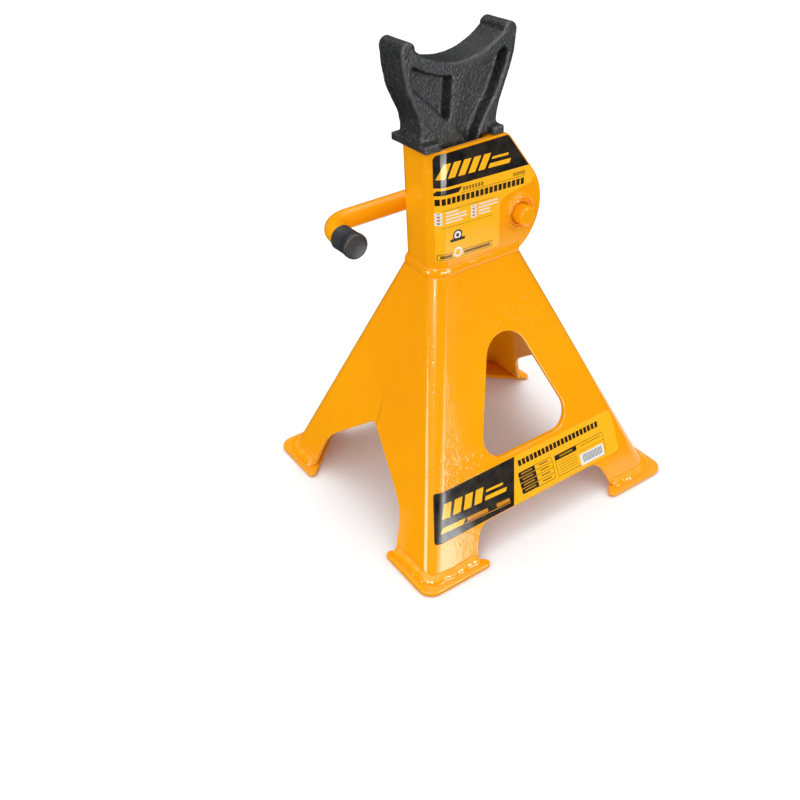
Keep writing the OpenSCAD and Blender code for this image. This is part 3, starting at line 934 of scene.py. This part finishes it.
# (radius, outwards): a thin inner lip, then a heavier weld bead
COLLAR_SECTION = [
    (6.75, -0.2), (6.7, 0.6), (6.85, 1.05), (7.2, 1.3), (7.6, 1.2), (7.95, 0.7),
    (8.25, 0.35), (8.6, 0.55), (9.0, 1.35), (9.6, 2.0), (10.3, 2.1), (11.0, 1.8),
    (11.7, 1.2), (12.4, 0.55), (12.9, 0.15), (13.3, -0.2)]


def build_collar(sign, name, replaced):
    """collar round the pivot hole on the front (-1) or rear (+1) wall"""
    steps, highest = 140, 2.2

    def off_centre(r, h, t):
        # the bead is wide up and towards the web, narrow low on the other side
        z, x = math.cos(t), -math.sin(t) * sign
        narrow = 1 - (0.5 + 0.5 * (0.62 * z - 0.78 * x))
        uneven = noise_at(math.cos(t) * 2.6, math.sin(t) * 2.6, sign * 3.0)
        part = max(0.0, (r - 8.2) / 5.0)  # 0 on the lip, 1 at the bead's edge
        r -= part * (3.6 * narrow ** 1.2)
        r += part * (0.5 * uneven + 0.12 * math.sin(19 * t + 3 * uneven))
        if h > 0:
            h *= (1 - 0.25 * part * narrow + 0.25 * uneven * min(1, 3 * part)
                  + 0.10 * part * math.sin(19 * t + 1))
        return r, min(h, highest)
    point = turner((PIVOT_X, sign * HEAD_HALF_Y, PIVOT_Z), (0, sign, 0))
    angles = [2 * math.pi * i / steps for i in range(steps)]
    stations = [[point(*off_centre(r, h, t), t) for r, h in COLLAR_SECTION] for t in angles]
    o = sweep(name, stations, closed=True)
    piece(smooth(o, False), "stand", M_WELD, replaced)


# ---------------------------------------------------------------- lever
ARM_Y, GRIP_X, BEND_R, ROD_R, PIN_END_Y = 41.5, 71.0, 16.0, 6.0, -25.4


def rod_section(station, radius):
    x, y, ahead_x, ahead_y = station
    return [(x + ahead_y * radius * math.cos(a), y - ahead_x * radius * math.cos(a),
             PIVOT_Z + radius * math.sin(a)) for a in np.linspace(0, 2 * math.pi, 57)[:-1]]


def bend_stations(centre_x, start, end):
    for t in map(math.radians, np.linspace(start, end, 26)[1:]):
        c, s = math.cos(t), math.sin(t)
        yield centre_x + BEND_R * c, ARM_Y - BEND_R + BEND_R * s, -s, c


def build_rod():
    """rod from the pivot pin, along behind the head, to the grip on the left"""
    bend_y, bend_x, grip_bend_x = ARM_Y - BEND_R, PIVOT_X - BEND_R, -GRIP_X + BEND_R
    # (x, y, direction x, direction y)
    path = [(PIVOT_X, y, 0, 1) for y in np.linspace(PIN_END_Y, bend_y, 40)]
    path += bend_stations(bend_x, 0, 90)
    path += [(x, ARM_Y, -1, 0) for x in np.linspace(bend_x, grip_bend_x, 30)[1:]]
    path += bend_stations(grip_bend_x, 90, 180)
    path += [(-GRIP_X, y, 0, -1) for y in np.linspace(bend_y, 9, 14)[1:]]
    # (distance from the pin end, radius) of the chamfered end, in place of two stations
    chamfer = [(0.05, 2.0), (0.0, 4.6), (0.02, 5.0), (0.10, 5.2), (0.62, 5.78),
               (0.78, 5.92), (1.05, ROD_R)]
    stations = [rod_section((PIVOT_X, PIN_END_Y + h, 0, 1), r) for h, r in chamfer]
    stations += [rod_section(p, ROD_R) for p in path[2:]]
    o = sweep("bent_handle_rod", stations)
    piece(smooth(o), "lever", M_PART, "handle_rod")


def build_grip_cap():
    """moulded cap, hollow, with a dimpled end facing -Y"""
    R = 7.7
    # (radius, distance from the cap's open end)
    profile = [
        (0, 15.25), (0.25, 15.3), (0.55, 15.55), (0.85, 15.8), (1.3, 15.85),
        (R - 2.1, 15.85), (R - 1.75, 16.0), (R - 1.5, 16.25), (R - 1.0, 16.35),
        (R - 0.5, 16.2), (R - 0.15, 15.8), (R, 15.2), (R, 13.2), (R - 0.1, 12.8),
        (R - 0.28, 12.5), (R - 0.3, 9), (R - 0.32, 4), (R - 0.3, 1.2), (R - 0.22, 0.5),
        (R - 0.5, 0.1), (R - 0.9, 0), (6.35, 0), (6.1, 0.3), (6.05, 1), (6.05, 13.2),
        (0, 13.3)]
    o = lathe("grip_end_cap", profile, (-GRIP_X, 22, PIVOT_Z), (0, -1, 0), 96)
    piece(smooth(o, False), "lever", M_RUBBER, "grip_cap")


def build_catch():
    """round hub with a pointed arm, and the slanting pin through it"""
    slant = (1, 0, 1)
    # (x, z) of the arm from the pivot, before it is turned
    arm = [(-29.2, 20.6), (-28.7, 21.2), (-17.5, 24.6), (2.0, 11.8), (0, 0), (-11.4, -3.6),
           (-25.4, 11.4)]
    turn = math.radians(-10)
    c, s = math.cos(turn), math.sin(turn)
    arm = [(PIVOT_X + x * c - z * s, PIVOT_Z + x * s + z * c) for x, z in arm]
    o = cylinder("pawl_catch", 12, 12, PIVOT_X, PIVOT_Z, 72)
    boolean(o, [prism("arm", arm, "y", -9, 9)], "UNION")
    boolean(o, [cylinder("rod_hole", 6.05, 30, PIVOT_X, PIVOT_Z, 64),
                cylinder("pin_hole", 2.0, 30, PIVOT_X, PIVOT_Z, 32, slant)])
    tidy(o)
    round_edges(o, 0.5, 2)
    piece(smooth(o), "lever", M_STEEL, "pawl")
    # (radius, along) with chamfered ends
    profile = [(1.4, -11.5), (1.75, -11.4), (1.95, -11.0), (1.95, 11.0), (1.75, 11.4),
               (1.4, 11.5)]
    pin = lathe("pawl_cross_pin", profile, (PIVOT_X, 0, PIVOT_Z), slant, 40)
    piece(smooth(pin), "lever", M_STEEL, "pawl_pin")


# ---------------------------------------------------------------- toothed bar
# outlines are (u, v): u to the right, v up from the bar's lower left corner
LUG_V, LUG_HEIGHT = 203.2, 4.8
BAR_X, BAR_Z = -31.0, HEAD_TOP + 0.05 - LUG_V
BAR_HALF_Y, LUG_HALF_Y, BAR_WEB_HALF_Y = 10.75, 16.5, 3.0
TOOTH_PITCH, FIRST_TOOTH_V, TOOTH_COUNT = 16.5, 47, 9
CRADLE_CENTRE, CRADLE_R, POCKET_ARC_R = (22, 290.7), 45, 51.6


def place_bar(points):
    return [(u + BAR_X, v + BAR_Z) for u, v in points]


def stem_outline():
    # (u, v from the tooth's own height)
    tooth = [(28.3, -3.0), (28.6, -2.0), (32.4, -0.7), (33.1, -0.1), (33.3, 0.7), (33.1, 1.7)]
    starts = [FIRST_TOOTH_V + TOOTH_PITCH * i for i in range(TOOTH_COUNT)]
    teeth = [(u, start + v) for start in starts for u, v in tooth]
    return ([(1.4, 0.8), (2.2, 0), (30.4, 0), (31.3, 0.8), (32, 31.4), (31.6, 32.6)] + teeth
            + [(33.3, starts[-1] + 3.4), (34, starts[-1] + 9), (34, 214), (1.4, 214)])


def cradle_outline():
    """Y-shaped top with a round hollow between two horns"""
    left = [(1.4, LUG_V), (-4.6, LUG_V), (-5, 208.4), (-4.4, 214), (-5.6, 220.6),
            (-9.2, 228.6), (-12.6, 236.4), (-14.6, 248), (-15.1, 256.3)]
    left_horn = arc_points((-10.7, 256.3), 4.4, 16, 180, 30)
    hollow = [p for p in arc_points(CRADLE_CENTRE, CRADLE_R, 160, 180, 360)
              if -6.9 <= p[0] <= 50.9]
    right_horn = arc_points((54.5, 255), 4.6, 16, 150, 0)
    right = [(57.6, 244), (54.8, 235.6), (48.2, 220), (46.4, 214), (45.6, 208.4),
             (45.4, LUG_V), (34, LUG_V)]
    return left + left_horn + hollow + right_horn + right


def pocket_outlines():
    """the four recesses cut into both faces"""
    def under_hollow(start, end):
        cu, cv = CRADLE_CENTRE
        return [(u, min(250, cv - math.sqrt(max(0.0, POCKET_ARC_R ** 2 - (u - cu) ** 2))))
                for u in np.linspace(start, end, 18)]
    stem_upper = [(7.2, 52.6), (8.6, 51.2), (20, 51.2), (21.4, 52.6), (23.6, 180.4),
                  (21.6, 182.4), (8.6, 187), (7.2, 186)]
    stem_lower = [(5.8, 6.6), (7.2, 5.2), (26.4, 5.2), (27.4, 6.6), (28.3, 30.6),
                  (19.4, 45.2), (17.6, 46.2), (7.2, 46.2), (5.8, 44.8)]
    cradle_left = ([(-8.6, 236.6), (-9.8, 244)] + under_hollow(-8.6, 15.8)
                   + [(16.1, 237.2), (13.8, 214.6)])
    cradle_right = ([(18.6, 211.6), (26.2, 239.0)] + under_hollow(26.6, 51)
                    + [(53.6, 245), (51.4, 237.1), (45.4, 224.6), (38.4, 214.8),
                       (33.6, 206), (31.2, 198.2), (28.4, 197.6)])
    return stem_upper, stem_lower, cradle_left, cradle_right


def pocket_cutters():
    """pockets widen from the web outwards"""
    cutters = []
    for points in pocket_outlines():
        floor_outline = offset_outline(place_bar(points), -0.9)
        for s in (-1, 1):
            cutters.append(prism("pocket", floor_outline, "y", s * BAR_WEB_HALF_Y,
                                 s * (BAR_HALF_Y + 1.0), grow=1.0))
    return cutters


def bar_solids():
    solids = []
    for name, points in (("stem", stem_outline()), ("cradle", cradle_outline())):
        o = prism(name, place_bar(points), "y", -BAR_HALF_Y, BAR_HALF_Y)
        solids.append(boolean(o, pocket_cutters()))
    boolean(solids[0], [cylinder("hole", 7, 30, 15.5 + BAR_X, 14.7 + BAR_Z, 64)])
    # square lugs under the cradle, chamfered at their outer ends
    top = LUG_V + LUG_HEIGHT
    left_lug = [(-6.6, LUG_V + 0.6), (-6, LUG_V), (4, LUG_V), (4, top), (-6, top),
                (-6.6, LUG_V + 4.2)]
    right_lug = [(39.4, LUG_V), (46.4, LUG_V), (47, LUG_V + 0.6), (47, LUG_V + 4.2),
                 (46.4, top), (39.4, top)]
    for points in (left_lug, right_lug):
        solids.append(prism("lug", place_bar(points), "y", -LUG_HALF_Y, LUG_HALF_Y))
    return solids


def roughen(me):
    """push the skin in and out along its normals like a sand casting"""
    n = len(me.vertices)
    places, normals = np.zeros(n * 3), np.zeros(n * 3, np.float32)
    me.vertices.foreach_get("co", places)
    me.vertices.foreach_get("normal", normals)
    places, normals = places.reshape(-1, 3), normals.reshape(-1, 3)
    height = np.empty(n)
    for i in range(n):
        p = places[i] * 1000
        height[i] = (0.10 * noise.noise(Vector(p * 0.55)) + 0.07 * noise.noise(Vector(p * 1.3))
                     + 0.09 * noise.noise(Vector(p * 0.07)))
    places += normals * (height * MM)[:, None]
    me.vertices.foreach_set("co", places.ravel())
    me.update()


def build_toothed_bar():
    solids = bar_solids()
    bm = bmesh.new()
    for o in solids:
        bm.from_mesh(o.data)
    me = bpy.data.meshes.new("toothed_bar")
    bm.to_mesh(me)
    bm.free()
    for o in solids:
        bpy.data.objects.remove(o)
    bar = link_object("toothed_bar", me)
    # fuse the solids into one skin and soften its edges
    m = bar.modifiers.new("v", "REMESH")
    m.mode, m.voxel_size, m.use_smooth_shade = "VOXEL", 0.73 * MM, True
    m = bar.modifiers.new("s", "SMOOTH")
    m.factor, m.iterations = 0.5, 3
    bake(bar)
    roughen(bar.data)
    piece(bar, "ratchet", M_IRON, "ratchet_bar")


# ---------------------------------------------------------------- printed stickers
def base_label_row(z, low_z, high_z, lift):
    """points from the left corner bend to the rounded right end at height z"""
    right_x, end_r = 69.2, 3.6
    bend_steps, columns = 9, 60
    left, right, half_y = pyramid_sides(z)
    x0, x1, cy, r = left + CORNER_R, right - CORNER_R, -half_y + CORNER_R, CORNER_R + lift
    # how far the label wraps round the corner, with small rounded corners of its own
    wrap = 36.0 + 8.0 * (z - low_z) / (high_z - low_z)
    d = min(abs(z - low_z), abs(z - high_z))
    if d < 1.6:
        wrap -= 9.0 * (1 - math.sqrt(1 - (1 - d / 1.6) ** 2))
    row = []
    for i in range(bend_steps):
        t = math.radians(270 - wrap * (1 - i / bend_steps))
        row.append((x0 + r * math.cos(t), cy + r * math.sin(t), z))
    for edge in (low_z, high_z):
        d = abs(z - edge)
        if d < end_r:
            right_x -= end_r - math.sqrt(max(0.0, end_r ** 2 - (end_r - d) ** 2))
    for i in range(columns):
        x = x0 + (right_x - x0) * (i / (columns - 1))
        y = -half_y - lift
        if x > x1:
            y = cy - math.sqrt(r ** 2 - (x - x1) ** 2)
        row.append((x, y, z))
    return row


def build_base_label():
    """thin sheet on the front of the pyramid"""
    low_z, high_z, steps = 22.5, 49.6, 18
    heights = [low_z + (high_z - low_z) * (0.5 - 0.5 * math.cos(math.pi * k / steps))
               for k in range(steps + 1)]
    layers = [[base_label_row(z, low_z, high_z, lift) for z in heights]
              for lift in (0.20, -0.06)]  # outer face, then the face sunk in the sheet
    rows, cols = len(heights), len(layers[0][0])
    verts = [p for layer in layers for row in layer for p in row]

    def at(k, i, j):
        return k * rows * cols + i * cols + j
    faces = []
    for i in range(rows - 1):
        for j in range(cols - 1):
            faces.append([at(0, i, j), at(0, i, j + 1), at(0, i + 1, j + 1), at(0, i + 1, j)])
            faces.append([at(1, i, j), at(1, i + 1, j), at(1, i + 1, j + 1), at(1, i, j + 1)])
    top, end = rows - 1, cols - 1
    for j in range(end):
        faces.append([at(0, 0, j), at(1, 0, j), at(1, 0, j + 1), at(0, 0, j + 1)])
        faces.append([at(0, top, j), at(0, top, j + 1), at(1, top, j + 1), at(1, top, j)])
    for i in range(top):
        faces.append([at(0, i, 0), at(0, i + 1, 0), at(1, i + 1, 0), at(1, i, 0)])
        faces.append([at(0, i, end), at(1, i, end), at(1, i + 1, end), at(0, i + 1, end)])
    o = mesh_obj("base_label", verts, faces)
    piece(smooth(o), "stand", base_print(), "base_decal")


def build_head_label():
    """thin sheet on the head's front wall, bent round towards the web"""
    margin = 0.8  # inside the ear's edge
    top = HEAD_TOP - 1.3
    outer, inner = ([p for p in head_outline(grow, HEAD_CUT_X, 44)[:46] if p[1] <= -13.7]
                    for grow in (0.22, -0.05))
    o = prism("head_label", outer + inner[::-1], "z", 160, 236)
    # (x, z) of the lower edge and the step beside the pivot
    edge = [(-36, 169.7), (10.6, 167.3), (11.8, 167.5), (12.6, 168.3), (12.9, 169.6),
            (12.9, 193.0), (13.4, 195.0), (14.8, 196.2), (20, 198.2), (36.2, 200.6),
            (37.2, 203.4)]
    tangent = ear_tangent()
    edge += [p for p in arc_points(EAR_BULGE, EAR_BULGE_R - margin, 60, 25, tangent)
             if p[1] > 204.2]
    edge += arc_points(EAR_TIP, EAR_TIP_R - margin, 14, tangent, 90)
    edge += [(-28.0, top), (-29.6, top - 0.3), (-30.7, top - 1.3), (-31.3, top - 2.9),
             (-36, top - 2.9)]
    edge = [(x, min(z, top)) for x, z in edge]
    boolean(o, [prism("edge", edge, "y", -30, 0)], "INTERSECT")
    boolean(o, [cylinder("hole", 13.4, 30, PIVOT_X, PIVOT_Z, 64)])
    tidy(o)
    piece(smooth(o), "stand", head_print(), "head_decal")


# ---------------------------------------------------------------- stage, light, camera
def floor_material():
    contact_shadow, pale, bounce = (0.62, 0.50, 0.47), (0.93, 0.93, 0.93), (0.66, 0.66, 0.66)
    m = Material("pale_floor")
    rays = m.new("LightPath").outputs
    occlusion = m.new("AmbientOcclusion")
    occlusion.inputs["Distance"].default_value = 0.11
    occlusion.samples = 8
    # painted shadow: the floor darkens where ambient occlusion finds the stand close by
    shade = m.mix(m.map(occlusion.outputs["AO"], span=(0.25, 0.95)), contact_shadow, pale)
    m.set(Base_Color=m.mix(rays["Is Diffuse Ray"], shade, bounce), Roughness=0.7,
          Emission_Color=(1, 1, 1, 1), Emission_Strength=0.06)
    # the white sheet is small: beyond it, glossy paint mirrors the dim room
    distance = m.vec("LENGTH", m.vec("SUBTRACT", m.co, (0.075, -0.105, 0)))
    front_left = m.vec("DOT_PRODUCT", m.co, (-0.753, -0.659, 0))
    beyond = m.math("MAXIMUM", m.map(front_left, span=(0.100, 0.112)),
                    m.map(distance, span=(0.21, 0.28)))
    clear = m.new("BsdfTransparent").outputs[0]
    surface = m.mix_shader(m.times(rays["Is Glossy Ray"], beyond), m.shader.outputs[0], clear)
    m.put(m.out.inputs[0], surface)
    return m.mat


def build_floor():
    s = 4000
    floor = mesh_obj("floor", [(-s, -s, 0), (s, -s, 0), (s, s, 0), (-s, s, 0)], [[0, 1, 2, 3]])
    floor.location.z = -0.00015
    floor.data.materials.append(floor_material())


def mirrored_glow(n):
    """strength of the room that glossy paint mirrors: dim, with lit panels and ceiling"""
    direction = n.new("TexCoord").outputs["Generated"]
    x, y, up = n.xyz(direction)
    around = n.math("ARCTAN2", x, n.times(y, -1.0))  # 0 towards -Y, positive towards +X

    def ramp(value, start, end, to=(0, 1)):
        return n.map(value, span=(start, end), to=to, eased=True)

    def turn_ramp(value, start, end):
        return ramp(value, math.radians(start), math.radians(end))

    def spot(towards, inner, outer):
        facing = n.vec("DOT_PRODUCT", direction, Vector(towards).normalized())
        return ramp(facing, math.cos(math.radians(outer)), math.cos(math.radians(inner)))
    # front panel; its right edge leans outwards as it rises
    edge = n.minus(around, n.plus(n.times(up, math.radians(27)), math.radians(25.3)))
    edge = n.minus(edge, ramp(up, -0.03, -0.055, to=(0.0, math.radians(2.4))))
    panel = n.times(turn_ramp(edge, 0.5, -0.5), turn_ramp(around, -32, -20))
    panel = n.times(panel, n.times(ramp(up, 0.26, -0.02), ramp(up, -0.30, -0.12)))
    # soft high patch on the left
    side = n.times(turn_ramp(around, -115, -80), turn_ramp(around, -30, -55))
    side = n.times(side, ramp(up, 0.05, 0.45))
    # narrow low strip on the left
    strip = n.times(turn_ramp(around, -112, -105), turn_ramp(around, -82, -89))
    strip = n.times(strip, n.times(ramp(up, 0.20, 0.08), ramp(up, -0.35, -0.20)))
    glow = n.plus(n.times(panel, 10.0), n.times(side, 0.7))
    glow = n.plus(glow, n.times(strip, 9.0))
    glow = n.plus(glow, n.times(spot((-1.35, -0.75, 1.15), inner=7, outer=10), 22.0))
    glow = n.plus(glow, n.times(spot((0.7, -1.6, 1.0), inner=6, outer=9), 16.0))
    return n.plus(glow, ramp(up, 0.45, 0.95, to=(0.02, 1.2)))


def build_world():
    """separate backgrounds for diffuse fill, reflections and the camera's own view"""
    world = bpy.data.worlds.new("studio")
    bpy.context.scene.world = world
    world.use_nodes = True
    n = Nodes(world.node_tree)
    out = n.new("OutputWorld")
    rays = n.new("LightPath").outputs

    def background(colour, strength):
        node = n.new("Background")
        n.put(node.inputs[0], colour)
        n.put(node.inputs[1], strength)
        return node
    fill = background(colour=(0.97, 0.985, 1.0, 1), strength=0.98)
    seen = background(colour=(1, 1, 1, 1), strength=1.0)
    mirrored = background(colour=(1, 1, 1, 1), strength=0.06)
    n.put(mirrored.inputs[1], mirrored_glow(n))  # varies with direction
    light = n.mix_shader(rays["Is Glossy Ray"], fill.outputs[0], mirrored.outputs[0])
    n.put(out.inputs[0], n.mix_shader(rays["Is Camera Ray"], light, seen.outputs[0]))


# in metres and watts: name, place, aimed at, (width, height), energy
LIGHTS = [
    ("key", (-1.35, -0.75, 1.25), (0, 0, 0.12), (0.8, 0.8), 5.5),
    ("front", (0.7, -1.6, 1.1), (0, 0, 0.12), (0.8, 0.6), 4.0),
    ("top", (0.2, 0.4, 1.8), (0, 0, 0.1), (1.2, 1.0), 6.6)]


def build_light(name, place, target, size, energy):
    light = bpy.data.lights.new(name, "AREA")
    light.shape, light.energy = "RECTANGLE", energy
    light.size, light.size_y = size
    o = link_object(name, light)
    o.location = place
    o.rotation_mode = "QUATERNION"
    o.rotation_quaternion = (Vector(target) - Vector(place)).to_track_quat("-Z", "Y")


def build_camera():
    """camera at the front left, looking down, with a slight roll"""
    azimuth, elevation, roll = (math.radians(a) for a in (-32.29, 35.88, -3.28))
    back = Vector((math.sin(azimuth) * math.cos(elevation),
                   -math.cos(azimuth) * math.cos(elevation), math.sin(elevation)))
    right = (-back).cross(Vector((0, 0, 1))).normalized()
    up = right.cross(-back)
    rolled_right = right * math.cos(roll) + up * math.sin(roll)
    rolled_up = -right * math.sin(roll) + up * math.cos(roll)
    camera = bpy.data.cameras.new("camera")
    camera.sensor_width, camera.lens = 36.0, 41.38335
    camera.clip_start, camera.clip_end = 0.01, 50
    o = link_object("camera", camera)
    o.rotation_mode = "QUATERNION"
    axes = Matrix((rolled_right, rolled_up, back)).transposed()
    o.rotation_quaternion = axes.to_quaternion()
    o.location = Vector((-0.30474, -0.40029, 0.41545))
    bpy.context.scene.camera = o


build_shell()
build_seam_bead(-1, "left_seam_bead", "seam_weld_left")
build_seam_bead(1, "right_seam_bead", "seam_weld_right")
build_feet()
for corner, (sx, sy) in CORNERS.items():
    build_foot_bead(corner, sx, sy)
build_head_walls()
build_head_bead()
build_crossbar()
build_collar(-1, "front_collar", "pivot_collar_front")
build_collar(1, "rear_collar", "pivot_collar_rear")
build_rod()
build_grip_cap()
build_catch()
build_toothed_bar()
build_base_label()
build_head_label()
build_floor()
build_world()
for light in LIGHTS:
    build_light(*light)
build_camera()

view = bpy.context.scene.view_settings
view.view_transform = "Standard"
view.look = "None"
view.exposure = 0.0
